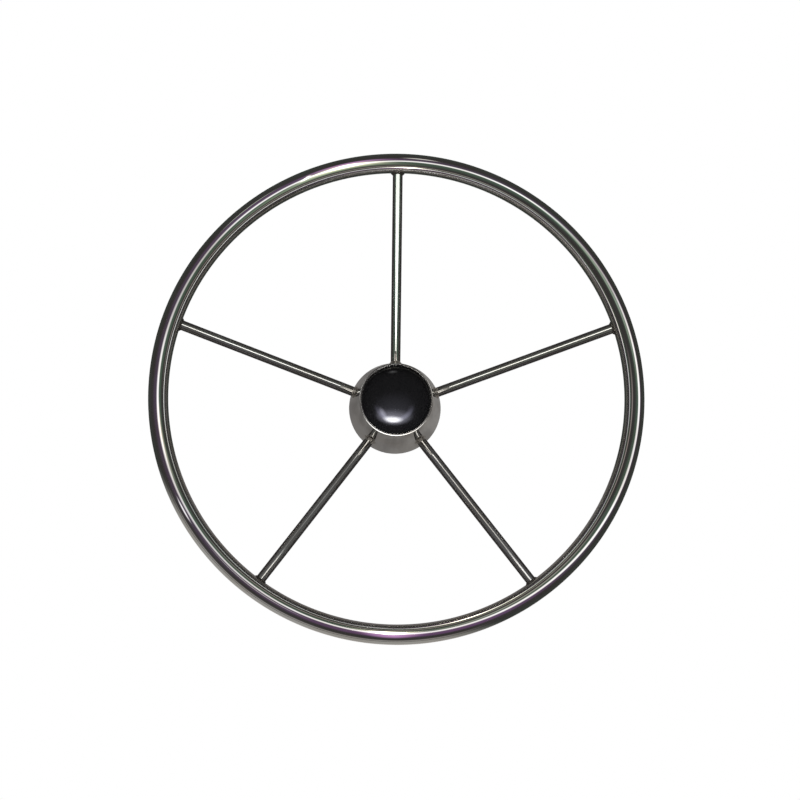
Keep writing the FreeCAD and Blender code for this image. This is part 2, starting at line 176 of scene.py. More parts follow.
def round_corners(corners, steps=6):
    """A profile through (radius, depth, rounding) corners, each rounded by an arc."""
    profile = []
    for index, (radius, depth, rounding) in enumerate(corners):
        here = Vector((radius, depth))
        if not rounding:
            profile.append(here)
            continue
        before = (Vector(corners[index - 1][:2]) - here).normalized()
        after = (Vector(corners[(index + 1) % len(corners)][:2]) - here).normalized()
        half = before.angle(after) / 2
        centre = here + (before + after).normalized() * (rounding / math.sin(half))
        first = here + before * (rounding / math.tan(half)) - centre
        last = here + after * (rounding / math.tan(half)) - centre
        sweep = math.pi - 2 * half
        for step in range(steps + 1):
            share = step / steps
            blend = (first * math.sin((1 - share) * sweep) + last * math.sin(share * sweep))
            profile.append(centre + blend / math.sin(sweep))
    return profile


def turned_points(profile, segments, start=0.0):
    """The points of a profile turned round the shaft axis, row by row."""
    points = []
    for radius, depth in profile:
        for segment in range(segments):
            angle = start + FULL_TURN * segment / segments
            points.append(Vector((radius * math.cos(angle), depth, radius * math.sin(angle))))
    return points


def spoke_turn(number):
    """The rotation that carries spoke 1 to another spoke, clockwise for the driver."""
    return Matrix.Rotation(FULL_TURN * (number - 1) / SPOKES, 3, AXIS)


# Spoke 1, straight up: its centre line from the middle of the rim tube to the shell
RIM_POINT = Vector((0, RIM_PLANE, RING_RADIUS))
ROOT_POINT = Vector((0, ROOT_PLANE, ROOT_RADIUS))
INWARD = (ROOT_POINT - RIM_POINT).normalized()
SPOKE_RUN = (ROOT_POINT - RIM_POINT).length
SIDE = Vector((1, 0, 0))
ACROSS = INWARD.cross(SIDE)


def round_rod(angle):
    """The direction out of spoke 1's rod at an angle round its centre line."""
    return SIDE * math.cos(angle) + ACROSS * math.sin(angle)


# Shader helpers

def new_material(name):
    """An empty node material and its surface shader."""
    material = bpy.data.materials.new(name)
    material.use_nodes = True
    tree = material.node_tree
    shader = tree.nodes["Principled BSDF"]
    return material, tree, shader


def add_node(tree, kind, settings=None, **inputs):
    """A node with its settings and inputs. An input is a number, a colour or another node's output."""
    node = tree.nodes.new(kind)
    for setting, value in (settings or {}).items():
        setattr(node, setting, value)
    for key, value in inputs.items():
        socket = node.inputs[int(key[1:])] if key[0] == "i" and key[1:].isdigit() else node.inputs[key]
        if isinstance(value, bpy.types.NodeSocket):
            tree.links.new(value, socket)
        else:
            socket.default_value = value
    return node


def math_node(tree, operation, first, second=0.0, third=0.0):
    """The output of one Math node."""
    node = add_node(tree, "ShaderNodeMath", {"operation": operation}, i0=first, i1=second, i2=third)
    return node.outputs[0]


def mapped(tree, value, low, high, to_low=0.0, to_high=1.0, smooth=True):
    """A value carried from one range to another, held at both ends."""
    kind = "SMOOTHSTEP" if smooth else "LINEAR"
    return add_node(tree, "ShaderNodeMapRange", {"interpolation_type": kind, "clamp": True},
                    i0=value, i1=low, i2=high, i3=to_low, i4=to_high).outputs[0]


def mixed(tree, share, first, second):
    """A mix of two colours."""
    node = tree.nodes.new("ShaderNodeMix")
    node.data_type = "RGBA"
    for socket, value in ((node.inputs[0], share), (node.inputs[6], first), (node.inputs[7], second)):
        if isinstance(value, bpy.types.NodeSocket):
            tree.links.new(value, socket)
        else:
            socket.default_value = value
    return node.outputs[2]


def noise(tree, vector, scale, detail=2.0, roughness=0.5):
    """The grey output of a noise texture."""
    node = add_node(tree, "ShaderNodeTexNoise", None, Vector=vector)
    node.inputs["Scale"].default_value = scale
    node.inputs["Detail"].default_value = detail
    node.inputs["Roughness"].default_value = roughness
    return node.outputs["Fac"]


def scaled(tree, vector, factors):
    """A vector with each part multiplied."""
    node = add_node(tree, "ShaderNodeVectorMath", {"operation": "MULTIPLY"}, i0=vector, i1=factors)
    return node.outputs[0]


def bump(tree, height, distance, strength=1.0, normal=None):
    """The normal after a bump of this height."""
    node = add_node(tree, "ShaderNodeBump", None, Height=height, Strength=strength, Distance=distance)
    if normal is not None:
        tree.links.new(normal, node.inputs["Normal"])
    return node.outputs["Normal"]


# Materials

STEEL = (0.72, 0.71, 0.69, 1)
STEEL_WARM = (0.66, 0.63, 0.59, 1)
STRAW = (0.60, 0.50, 0.36, 1)
WELD_LIGHT = (0.58, 0.55, 0.50, 1)
WELD_DARK = (0.40, 0.37, 0.33, 1)
TURNED_LIGHT = (0.62, 0.61, 0.59, 1)
TURNED_DARK = (0.50, 0.49, 0.47, 1)
BLACK_DEEP = (0.008, 0.008, 0.010, 1)
BLACK_SOFT = (0.016, 0.016, 0.019, 1)
LINE_HEIGHT = 0.0004 * MM
WAVE_HEIGHT = 0.05 * MM
GRAIN_HEIGHT = 0.03 * MM
RING_HEIGHT = 0.02 * MM
PEEL_HEIGHT = 0.02 * MM


def polished_steel():
    """Mirror polished stainless steel, with faint polishing lines along the piece and straw tint at welds.

    The piece stores "lay", its coordinates with the first one along the polishing direction, and
    "heat", 1 at a weld and 0 away from it.
    """
    material, tree, shader = new_material("polished_steel")
    lay = add_node(tree, "ShaderNodeAttribute", {"attribute_name": "lay"}).outputs["Vector"]
    heat = add_node(tree, "ShaderNodeAttribute", {"attribute_name": "heat"}).outputs["Fac"]
    lines = noise(tree, scaled(tree, lay, (5, 500, 500)), 1.0, 2.0, 0.5)
    clouds = noise(tree, scaled(tree, lay, (30, 60, 60)), 1.0, 3.0, 0.55)
    waves = noise(tree, scaled(tree, lay, (16, 40, 40)), 1.0, 1.0, 0.4)
    tone = mixed(tree, mapped(tree, clouds, 0.35, 0.7), STEEL, STEEL_WARM)
    tint = mixed(tree, mapped(tree, heat, 0.2, 1.0, 0.0, 0.35), tone, STRAW)
    tree.links.new(tint, shader.inputs["Base Color"])
    shader.inputs["Metallic"].default_value = 1.0
    smear = math_node(tree, "MULTIPLY_ADD", mapped(tree, clouds, 0.3, 0.75), 0.035, 0.035)
    rough = math_node(tree, "MULTIPLY_ADD", mapped(tree, lines, 0.45, 0.75), 0.015, smear)
    tree.links.new(rough, shader.inputs["Roughness"])
    fine = bump(tree, lines, LINE_HEIGHT)
    soft = bump(tree, waves, WAVE_HEIGHT, normal=fine)
    tree.links.new(soft, shader.inputs["Normal"])
    return material


def weld_steel():
    """A dressed weld bead, a little duller and darker than the tube."""
    material, tree, shader = new_material("weld_steel")
    place = add_node(tree, "ShaderNodeTexCoord").outputs["Object"]
    clouds = noise(tree, place, 260.0, 3.0, 0.6)
    grain = noise(tree, place, 1800.0, 2.0, 0.6)
    tone = mixed(tree, mapped(tree, clouds, 0.3, 0.7), WELD_LIGHT, WELD_DARK)
    tree.links.new(tone, shader.inputs["Base Color"])
    shader.inputs["Metallic"].default_value = 1.0
    rough = math_node(tree, "MULTIPLY_ADD", clouds, 0.22, 0.14)
    tree.links.new(rough, shader.inputs["Roughness"])
    tree.links.new(bump(tree, grain, GRAIN_HEIGHT), shader.inputs["Normal"])
    return material


def turned_steel():
    """Lathe-turned stainless steel: fine rings round the shaft axis."""
    material, tree, shader = new_material("turned_steel")
    place = add_node(tree, "ShaderNodeTexCoord").outputs["Object"]
    parts = add_node(tree, "ShaderNodeSeparateXYZ", None, i0=place)
    across = math_node(tree, "POWER", parts.outputs[0], 2.0)
    upward = math_node(tree, "POWER", parts.outputs[2], 2.0)
    radius = math_node(tree, "SQRT", math_node(tree, "ADD", across, upward))
    feed = math_node(tree, "ADD", math_node(tree, "MULTIPLY", radius, 5200.0),
                     math_node(tree, "MULTIPLY", parts.outputs[1], 4300.0))
    ring_place = add_node(tree, "ShaderNodeCombineXYZ", None, i0=feed, i1=0.0, i2=0.0).outputs[0]
    rings = noise(tree, ring_place, 1.0, 2.0, 0.6)
    clouds = noise(tree, place, 140.0, 3.0, 0.55)
    tone = mixed(tree, mapped(tree, clouds, 0.3, 0.7), TURNED_LIGHT, TURNED_DARK)
    tree.links.new(tone, shader.inputs["Base Color"])
    shader.inputs["Metallic"].default_value = 1.0
    shader.inputs["Anisotropic"].default_value = 0.4
    rough = math_node(tree, "MULTIPLY_ADD", clouds, 0.16, 0.18)
    tree.links.new(rough, shader.inputs["Roughness"])
    tree.links.new(bump(tree, rings, RING_HEIGHT), shader.inputs["Normal"])
    return material


def cap_plastic():
    """Glossy black moulded plastic, with a slight orange peel and soft smudges in its tone and gloss."""
    material, tree, shader = new_material("cap_plastic")
    place = add_node(tree, "ShaderNodeTexCoord").outputs["Object"]
    peel = noise(tree, place, 420.0, 1.0, 0.4)
    smudge = noise(tree, place, 70.0, 3.0, 0.6)
    tone = mixed(tree, smudge, BLACK_DEEP, BLACK_SOFT)
    tree.links.new(tone, shader.inputs["Base Color"])
    rough = math_node(tree, "MULTIPLY_ADD", mapped(tree, smudge, 0.35, 0.75), 0.07, 0.06)
    tree.links.new(rough, shader.inputs["Roughness"])
    shader.inputs["IOR"].default_value = 1.5
    shader.inputs["Coat Weight"].default_value = 0.5
    shader.inputs["Coat Roughness"].default_value = 0.04
    tree.links.new(bump(tree, peel, PEEL_HEIGHT), shader.inputs["Normal"])
    return material


# Pieces

RING_STEPS = 640
TUBE_STEPS = 64
HEAT_REACH = 16 * MM


def heat_at(distance):
    """How much tint a place has at this distance from a weld's middle."""
    return math.exp(-((distance / HEAT_REACH) ** 2))


def make_rim(material):
    """The round tube bent to a ring."""
    points, lay, heat = [], [], []
    joints = [spoke_turn(number) @ RIM_POINT for number in range(1, SPOKES + 1)]
    inner = [joint + (Vector((0, RIM_PLANE, 0)) - joint).normalized() * TUBE_RADIUS for joint in joints]
    for step in range(RING_STEPS):
        angle = FULL_TURN * step / RING_STEPS
        outward = Vector((math.sin(angle), 0, -math.cos(angle)))
        for turn in range(TUBE_STEPS):
            round_tube = FULL_TURN * turn / TUBE_STEPS
            radial = TUBE_RADIUS * math.cos(round_tube)
            depth = TUBE_RADIUS * math.sin(round_tube)
            point = outward * (RING_RADIUS + radial) + AXIS * (RIM_PLANE + depth)
            points.append(point)
            lay.append((abs(angle - math.pi) * RING_RADIUS, radial, depth))
            heat.append(max(heat_at((point - joint).length) for joint in inner))
    faces = grid_faces(RING_STEPS, TUBE_STEPS, True, True)
    rim = new_piece("rim_ring", points, faces, "wheel", material)
    set_vectors(rim, "lay", lay)
    set_floats(rim, "heat", heat)
    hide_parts("rim_tube")


ROD_STEPS = 72
ROD_ROWS = 40
ROD_CHAMFER = 0.4 * MM


def make_rod(number, material):
    """One straight round rod with a small chamfer at each hidden end."""
    turn = spoke_turn(number)
    start = ROD_START
    end = SPOKE_RUN + SHELL_WALL + ROD_REACH
    rows = [(start, 0), (start, ROD_RADIUS - ROD_CHAMFER), (start + ROD_CHAMFER, ROD_RADIUS)]
    for row in range(1, ROD_ROWS):
        along = start + (end - start) * row / ROD_ROWS
        rows.append((along, ROD_RADIUS))
    rows += [(end - ROD_CHAMFER, ROD_RADIUS), (end, ROD_RADIUS - ROD_CHAMFER), (end, 0)]
    points, lay, heat = [], [], []
    for along, radius in rows[1:-1]:
        for step in range(ROD_STEPS):
            angle = FULL_TURN * step / ROD_STEPS
            point = RIM_POINT + INWARD * along + round_rod(angle) * radius
            points.append(turn @ point)
            lay.append((along + number, radius * math.cos(angle), radius * math.sin(angle)))
            heat.append(max(heat_at(along - TUBE_RADIUS), heat_at(SPOKE_RUN - along)))
    faces = grid_faces(len(rows) - 2, ROD_STEPS, False, True)
    first = list(range(ROD_STEPS))
    last = [len(points) - ROD_STEPS + step for step in range(ROD_STEPS)]
    faces += [tuple(reversed(first)), tuple(last)]
    rod = new_piece(f"rod_{number}", points, faces, "wheel", material, sharp=30)
    set_vectors(rod, "lay", lay)
    set_floats(rod, "heat", heat)
    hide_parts(f"spoke_{number}")


BEAD_STEPS = 144
BEAD_ROWS = 10
BEAD_ROOT = 0.3 * MM
BEAD_SHARP = 60
RIPPLE_HEIGHT = 0.06 * MM
RIPPLE_LENGTH = 1.1 * MM


def tube_gap(point):
    """How far a point lies outside the rim tube, and the direction away from it."""
    flat = Vector((point.x, 0, point.z))
    ring_point = flat.normalized() * RING_RADIUS + AXIS * RIM_PLANE
    away = point - ring_point
    return away.length - TUBE_RADIUS, away.normalized()


def shell_gap(point):
    """How far a point lies outside the shell's cone, and the direction away from it."""
    flat = Vector((point.x, 0, point.z))
    away = (flat.normalized() - AXIS * FLARE).normalized()
    surface_radius = LIP_RADIUS + FLARE * (point.y - LIP_PLANE)
    gap = (flat.length - surface_radius) / math.sqrt(1 + FLARE ** 2)
    return gap, away


HALVINGS = 40


def rest_ball(angle, size, gap_to, near, far):
    """The middle of a ball that touches spoke 1's rod and a surface, found between two places on the rod."""
    outward = round_rod(angle)
    for _ in range(HALVINGS):
        middle = (near + far) / 2
        centre = RIM_POINT + INWARD * middle + outward * (ROD_RADIUS + size)
        if gap_to(centre)[0] < size:
            near = middle
        else:
            far = middle
    return centre, outward, gap_to(centre)[1]


def make_bead(name, number, size, gap_to, near, far, material, replaced):
    """The fillet bead between a rod and a surface, with the fine ripples of a weld under the polish.

    near lies inside the surface and far lies outside it, both as places along the rod.
    """
    turn = spoke_turn(number)
    ripples = round(FULL_TURN * (ROD_RADIUS + size / 2) / RIPPLE_LENGTH)
    points = []
    for step in range(BEAD_STEPS):
        angle = FULL_TURN * step / BEAD_STEPS
        centre, outward, away = rest_ball(angle, size, gap_to, near, far)
        sweep = outward.angle(away)
        ridge = abs(math.sin(ripples * angle / 2 + 0.5 * number))
        points.append(centre - outward * (size + BEAD_ROOT))
        for row in range(BEAD_ROWS + 1):
            share = row / BEAD_ROWS
            blend = outward * math.sin((1 - share) * sweep) + away * math.sin(share * sweep)
            toward = blend / math.sin(sweep)
            lift = RIPPLE_HEIGHT * ridge * math.sin(math.pi * share)
            points.append(centre - toward * (size - lift))
        points.append(centre - away * (size + BEAD_ROOT))
    columns = BEAD_ROWS + 3
    faces = grid_faces(BEAD_STEPS, columns, True, True)
    points = [turn @ point for point in points]
    bead = new_piece(name, points, faces, "wheel", material, sharp=BEAD_SHARP)
    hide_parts(replaced)


def make_beads(material):
    """The beads at both ends of every rod."""
    for number in range(1, SPOKES + 1):
        make_bead(f"rim_bead_{number}", number, RIM_BEAD, tube_gap, TUBE_RADIUS / 2,
                  TUBE_RADIUS + 3 * RIM_BEAD, material, f"rim_weld_{number}")
        make_bead(f"hub_bead_{number}", number, HUB_BEAD, shell_gap, SPOKE_RUN + SHELL_WALL,
                  SPOKE_RUN - 5 * HUB_BEAD, material, f"hub_weld_{number}")


TURN_STEPS = 256


def lay_of_cone(points):
    """Polishing direction round the axis: the way round comes first, then radius and depth."""
    values = []
    for point in points:
        angle = abs(math.atan2(point.z, point.x))
        radius = math.hypot(point.x, point.z)
        values.append((angle * BASE_RADIUS, radius, point.y))
    return values


def make_shell(material):
    """The conical shell: outer cone, bright lip, rebate for the cap, inner cone and back edge."""
    mouth = LIP_RADIUS - SHELL_WALL
    rebate = LIP_RADIUS - LIP_LAND
    corners = [
        (BASE_RADIUS, BASE_PLANE, EDGE_ROUND),
        (LIP_RADIUS, LIP_PLANE, EDGE_ROUND),
        (rebate, LIP_PLANE, EDGE_ROUND / 2),
        (rebate, SEAT_PLANE, 0),
        (mouth + FLARE * REBATE_DEPTH, SEAT_PLANE, 0),
        (BASE_RADIUS - SHELL_WALL, BASE_PLANE, EDGE_ROUND),
    ]
    profile = round_corners(corners)
    points = turned_points(profile, TURN_STEPS, math.pi / 2)
    faces = grid_faces(len(profile), TURN_STEPS, True, True)
    shell = new_piece("hub_cone", points, faces, "wheel", material, sharp=25)
    set_vectors(shell, "lay", lay_of_cone(points))
    joints = [spoke_turn(number) @ ROOT_POINT for number in range(1, SPOKES + 1)]
    heat = [max(heat_at((point - joint).length) for joint in joints) for point in points]
    set_floats(shell, "heat", heat)
    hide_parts("hub_shell")


def dome(radius, edge_plane, apex_plane, steps):
    """Points of the arc from the apex to the edge, centred on the axis."""
    rise = edge_plane - apex_plane
    sphere = (radius ** 2 + rise ** 2) / (2 * rise)
    last = math.asin(radius / sphere)
    arc = []
    for step in range(steps + 1):
        angle = last * step / steps
        arc.append(Vector((sphere * math.sin(angle), apex_plane + sphere * (1 - math.cos(angle)))))
    return arc


DOME_ROWS = 48
LEG_COLUMNS = 20
LEG_ROOT = 0.4 * MM
LEG_EDGE = 0.3 * MM


def make_cap(material):
    """The domed cap: dome, rounded shoulder, edge, seat and the ring that carries the legs."""
    outside = dome(CAP_RADIUS, CAP_EDGE_PLANE, APEX_PLANE, DOME_ROWS)
    slope = (outside[-1] - outside[-2]).normalized()
    half = (math.pi - slope.angle(Vector((0, 1)))) / 2
    setback = CAP_SHOULDER / math.tan(half)
    kept = [point for point in outside if (point - outside[-1]).length > 1.15 * setback]
    before = outside[-1] - slope * 2 * setback
    shoulder = round_corners([(before.x, before.y, 0), (CAP_RADIUS, CAP_EDGE_PLANE, CAP_SHOULDER),
                              (CAP_RADIUS, SEAT_PLANE, 0)], 10)[1:-1]
    skirt_inside = SKIRT_RADIUS - CAP_WALL
    inside = dome(skirt_inside, CAP_EDGE_PLANE + CAP_WALL, APEX_PLANE + CAP_WALL, DOME_ROWS // 2)
    profile = kept[1:] + shoulder
    profile += [Vector((CAP_RADIUS, SEAT_PLANE - EDGE_ROUND / 2)),
                Vector((CAP_RADIUS - EDGE_ROUND / 2, SEAT_PLANE)),
                Vector((SKIRT_RADIUS, SEAT_PLANE)), Vector((SKIRT_RADIUS, SLOT_PLANE)),
                Vector((skirt_inside, SLOT_PLANE))]
    profile += list(reversed(inside[1:]))
    points = turned_points(profile, TURN_STEPS)
    faces = grid_faces(len(profile), TURN_STEPS, False, True)
    apex = len(points)
    points.append(Vector((0, kept[0].y, 0)))
    points.append(Vector((0, inside[0].y, 0)))
    last_row = (len(profile) - 1) * TURN_STEPS
    for segment in range(TURN_STEPS):
        following = (segment + 1) % TURN_STEPS
        faces.append((apex, following, segment))
        faces.append((apex + 1, last_row + segment, last_row + following))
    for leg in range(SKIRT_SLOTS):
        add_leg(points, faces, leg)
    cap = new_piece("cap_dome", points, faces, "cap", material, sharp=35)
    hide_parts("centre_cap")


def add_leg(points, faces, leg):
    """Adds one leg of the skirt, between two slots, with a chamfered tip."""
    inside = SKIRT_RADIUS - CAP_WALL
    section = [(inside, SLOT_PLANE - LEG_ROOT), (SKIRT_RADIUS - LEG_EDGE / 10, SLOT_PLANE - LEG_ROOT),
               (SKIRT_RADIUS - LEG_EDGE / 10, SKIRT_END - LEG_EDGE), (SKIRT_RADIUS - LEG_EDGE, SKIRT_END),
               (inside + LEG_EDGE, SKIRT_END), (inside, SKIRT_END - LEG_EDGE)]
    pitch = FULL_TURN / SKIRT_SLOTS
    base = len(points)
    for column in range(LEG_COLUMNS + 1):
        for radius, depth in section:
            slot_half = math.asin(SLOT_WIDTH / 2 / radius)
            angle = leg * pitch + slot_half + (pitch - 2 * slot_half) * column / LEG_COLUMNS
            points.append(Vector((radius * math.sin(angle), depth, radius * math.cos(angle))))
    sides = len(section)
    for column in range(LEG_COLUMNS):
        for side in range(sides):
            following = (side + 1) % sides
            row = base + column * sides
            faces.append((row + side, row + sides + side, row + sides + following, row + following))
    faces.append(tuple(base + side for side in range(sides)))
    faces.append(tuple(base + LEG_COLUMNS * sides + side for side in reversed(range(sides))))


RING_RIPPLE_LENGTH = 1.6 * RIPPLE_LENGTH
RING_CROWN = 0.06
RING_RIPPLE = 0.07


def make_ring_bead(name, corner_radius, corner_plane, legs, material, replaced):
    """A ring weld in a corner: a triangle of two legs with a slight crown and ripples, turned round the axis.

    The crown and the ripples are shares of the longer leg.
    """
    radial_leg, depth_leg = legs
    size = max(abs(radial_leg), abs(depth_leg))
    ripples = round(FULL_TURN * corner_radius / RING_RIPPLE_LENGTH)
    steps = ripples * 6
    rows = 8
    points = []
    for step in range(steps):
        angle = FULL_TURN * step / steps
        ridge = abs(math.sin(ripples * angle / 2))
        out = Vector((math.cos(angle), 0, math.sin(angle)))
        points.append(out * corner_radius + AXIS * corner_plane)
        for row in range(rows + 1):
            share = row / rows
            lift = math.sin(math.pi * share) * (RING_CROWN + RING_RIPPLE * ridge) * size
            radius = corner_radius + radial_leg * (1 - share) + math.copysign(lift, radial_leg)
            depth = corner_plane + depth_leg * share + math.copysign(lift, depth_leg)
            points.append(out * radius + AXIS * depth)
    faces = grid_faces(steps, rows + 2, True, True)
    bead = new_piece(name, points, faces, "wheel", material, sharp=50)
    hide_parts(replaced)


def make_pieces():
    """Every piece over its CAD node, and a finish for the nodes that stay."""
    steel = polished_steel()
    weld = weld_steel()
    turned = turned_steel()
    plastic = cap_plastic()
    make_rim(steel)
    for number in range(1, SPOKES + 1):
        make_rod(number, steel)
    make_beads(weld)
    make_shell(steel)
    make_cap(plastic)
    shell_inside = BASE_RADIUS - SHELL_WALL - FLARE * (BASE_PLANE - WEB_BACK)
    make_ring_bead("web_bead", shell_inside, WEB_BACK, (-WEB_BEAD, WEB_BEAD), weld, "web_weld")
    make_ring_bead("boss_bead", NOSE_RADIUS, WEB_FRONT, (BOSS_BEAD, -BOSS_BEAD), weld, "boss_weld")
    for node, material in (("hub_web", turned), ("hub_boss", turned)):
        mesh = frame["nodes"][node].data
        mesh.materials.clear()
        mesh.materials.append(material)


# Camera: the photograph's angle, from a little below the wheel's axis

CAMERA_DISTANCE = 1.76
CAMERA_BELOW = math.radians(8.6)
CAMERA_SIDE = math.radians(-1.3)
CAMERA_ROLL = math.radians(0.24)
CAMERA_LENS = 99.8
CAMERA_SENSOR = 36.0
IMAGE_SIDE = 800
RIM_CENTRE_PIXEL = (396.9, 395.4)


def make_camera():
    """The photograph's camera, aimed at the middle of the rim."""
    data = bpy.data.cameras.new("camera")
    data.lens = CAMERA_LENS
    data.sensor_width = CAMERA_SENSOR
    data.shift_x = (IMAGE_SIDE / 2 - RIM_CENTRE_PIXEL[0]) / IMAGE_SIDE
    data.shift_y = (RIM_CENTRE_PIXEL[1] - IMAGE_SIDE / 2) / IMAGE_SIDE
    data.clip_end = 50
    camera = bpy.data.objects.new("camera", data)
    bpy.context.scene.collection.objects.link(camera)
    target = Vector((0, RIM_PLANE, 0))
    offset = Vector((math.sin(CAMERA_SIDE) * math.cos(CAMERA_BELOW),
                     -math.cos(CAMERA_BELOW) * math.cos(CAMERA_SIDE), -math.sin(CAMERA_BELOW)))
    camera.location = target + offset * CAMERA_DISTANCE
    aim = (-offset).to_track_quat("-Z", "Y")
    camera.rotation_mode = "QUATERNION"
    camera.rotation_quaternion = aim @ Matrix.Rotation(CAMERA_ROLL, 4, "Z").to_quaternion()
    bpy.context.scene.camera = camera


# Studio: a white backdrop for the camera, and for the metal a dim room with light sheets round the wheel

def dot_with(tree, vector, direction):
    """The dot product of a vector with a fixed direction."""
    return add_node(tree, "ShaderNodeVectorMath", {"operation": "DOT_PRODUCT"},
                    i0=vector, i1=tuple(direction)).outputs["Value"]


def added(tree, first, second):
    """The sum of two colours."""
    node = add_node(tree, "ShaderNodeVectorMath", {"operation": "ADD"}, i0=first, i1=second)
    return node.outputs[0]


ROOM_FRONT = (0.050, 0.048, 0.048, 1)
ROOM_BACK = (0.040, 0.038, 0.038, 1)
BACKDROP_EDGE = 168.0
BACKDROP_FULL = 176.0


def make_world():
    """White for the camera. Metal sees a dim room, and the white straight behind the wheel.

    Angles are in degrees from the direction towards the driver.
    """
    world = bpy.data.worlds.new("studio")
    bpy.context.scene.world = world
    world.cycles.sampling_method = "NONE"
    world.use_nodes = True
    tree = world.node_tree
    tree.nodes.clear()
    heading = add_node(tree, "ShaderNodeTexCoord").outputs["Generated"]
    front = dot_with(tree, heading, (0, -1, 0))
    angle = math_node(tree, "MULTIPLY", math_node(tree, "ARCCOSINE", front), 180 / math.pi)
    behind = mapped(tree, angle, 70.0, 110.0)
    room = mixed(tree, behind, ROOM_FRONT, ROOM_BACK)
    path = add_node(tree, "ShaderNodeLightPath").outputs
    mirror = math_node(tree, "MAXIMUM", path["Is Glossy Ray"], path["Is Transmission Ray"])
    backdrop = mapped(tree, angle, BACKDROP_EDGE, BACKDROP_FULL)
    shown = math_node(tree, "MAXIMUM", path["Is Camera Ray"], math_node(tree, "MULTIPLY", mirror, backdrop))
    colour = mixed(tree, shown, room, (1, 1, 1, 1))
    background = add_node(tree, "ShaderNodeBackground", None, Color=colour, Strength=1.0)
    output = tree.nodes.new("ShaderNodeOutputWorld")
    tree.links.new(background.outputs[0], output.inputs[0])


CARD_DISTANCE = 200 * MM
CARD_RADIUS = 900 * MM
WIDE_RADIUS = 3000 * MM


def oval_reach(tree, parts, x, z, width, height, tilt=0.0):
    """How far a place on a card is from an oval's middle, where 1 is the oval's edge. Sizes are in mm."""
    turn = math.radians(tilt)
    right = math_node(tree, "SUBTRACT", parts.outputs[0], x * MM)
    up = math_node(tree, "SUBTRACT", parts.outputs[2], z * MM)
    across = math_node(tree, "ADD", math_node(tree, "MULTIPLY", right, math.cos(turn) / (width * MM)),
                       math_node(tree, "MULTIPLY", up, math.sin(turn) / (width * MM)))
    along = math_node(tree, "SUBTRACT", math_node(tree, "MULTIPLY", up, math.cos(turn) / (height * MM)),
                      math_node(tree, "MULTIPLY", right, math.sin(turn) / (height * MM)))
    wide = math_node(tree, "POWER", across, 2.0)
    high = math_node(tree, "POWER", along, 2.0)
    return math_node(tree, "SQRT", math_node(tree, "ADD", wide, high))


def window(tree, first, second):
    """The part of a card where both masks are on."""
    return math_node(tree, "MULTIPLY", first, second)


def with_lamps(tree, parts, total, lamps):
    """Adds soft oval lamps to a card's light."""
    for x, z, width, height, tilt, softness, colour in lamps:
        reach = oval_reach(tree, parts, x, z, width, height, tilt)
        total = added(tree, total, scaled(tree, mapped(tree, reach, 1 + softness, 1 - softness), colour))
    return total


# Soft lamps on the cards: middle x and z, half width and half height in mm, tilt in degrees, softness and
# colour. RIM_LAMPS are the two flares with their halos, then the fainter spots round the rim.
RIM_LAMPS = [
    (-42, 232, 10, 34, 11, 0.95, (7.6, 7.5, 6.6)),
    (-42, 225, 24, 64, 11, 0.95, (1.7, 1.7, 1.3)),
    (-78, 227, 3, 60, 19, 0.6, (2.0, 2.0, 1.8)),
    (-62, 345, 40, 60, 11, 0.9, (0.55, 0.30, 0.58)),
    (-30, 130, 30, 50, 11, 0.8, (0.20, 0.25, 0.17)),
    (0, -142, 8, 44, 0, 0.8, (8.0, 7.8, 6.6)),
    (0, -136, 15, 42, 0, 0.95, (1.5, 1.5, 1.1)),
    (0, -240, 22, 90, 0, 0.98, (0.56, 0.30, 0.60)),
    (60, -265, 170, 60, -8, 0.9, (0.085, 0.026, 0.105)),
    (-120, 290, 150, 60, 26, 0.9, (0.050, 0.020, 0.062)),
    (205, 172, 125, 32, -50, 0.7, (0.30, 0.37, 0.31)),
    (24, 10, 74, 18, 20, 0.5, (0.34, 0.29, 0.28)),
    (-165, 0, 60, 20, 0, 0.6, (0.50, 0.44, 0.38)),
    (84, -95, 60, 22, 30, 0.6, (0.32, 0.29, 0.27)),
    (47, 470, 26, 50, 0, 0.5, (0.9, 0.9, 0.85)),
    (-240, 350, 52, 24, 34, 0.5, (0.55, 0.62, 0.52)),
    (-280, -125, 34, 16, 24, 0.5, (1.2, 1.2, 1.25)),
    (-150, -180, 55, 13, -40, 0.6, (0.5, 0.5, 0.5)),
]
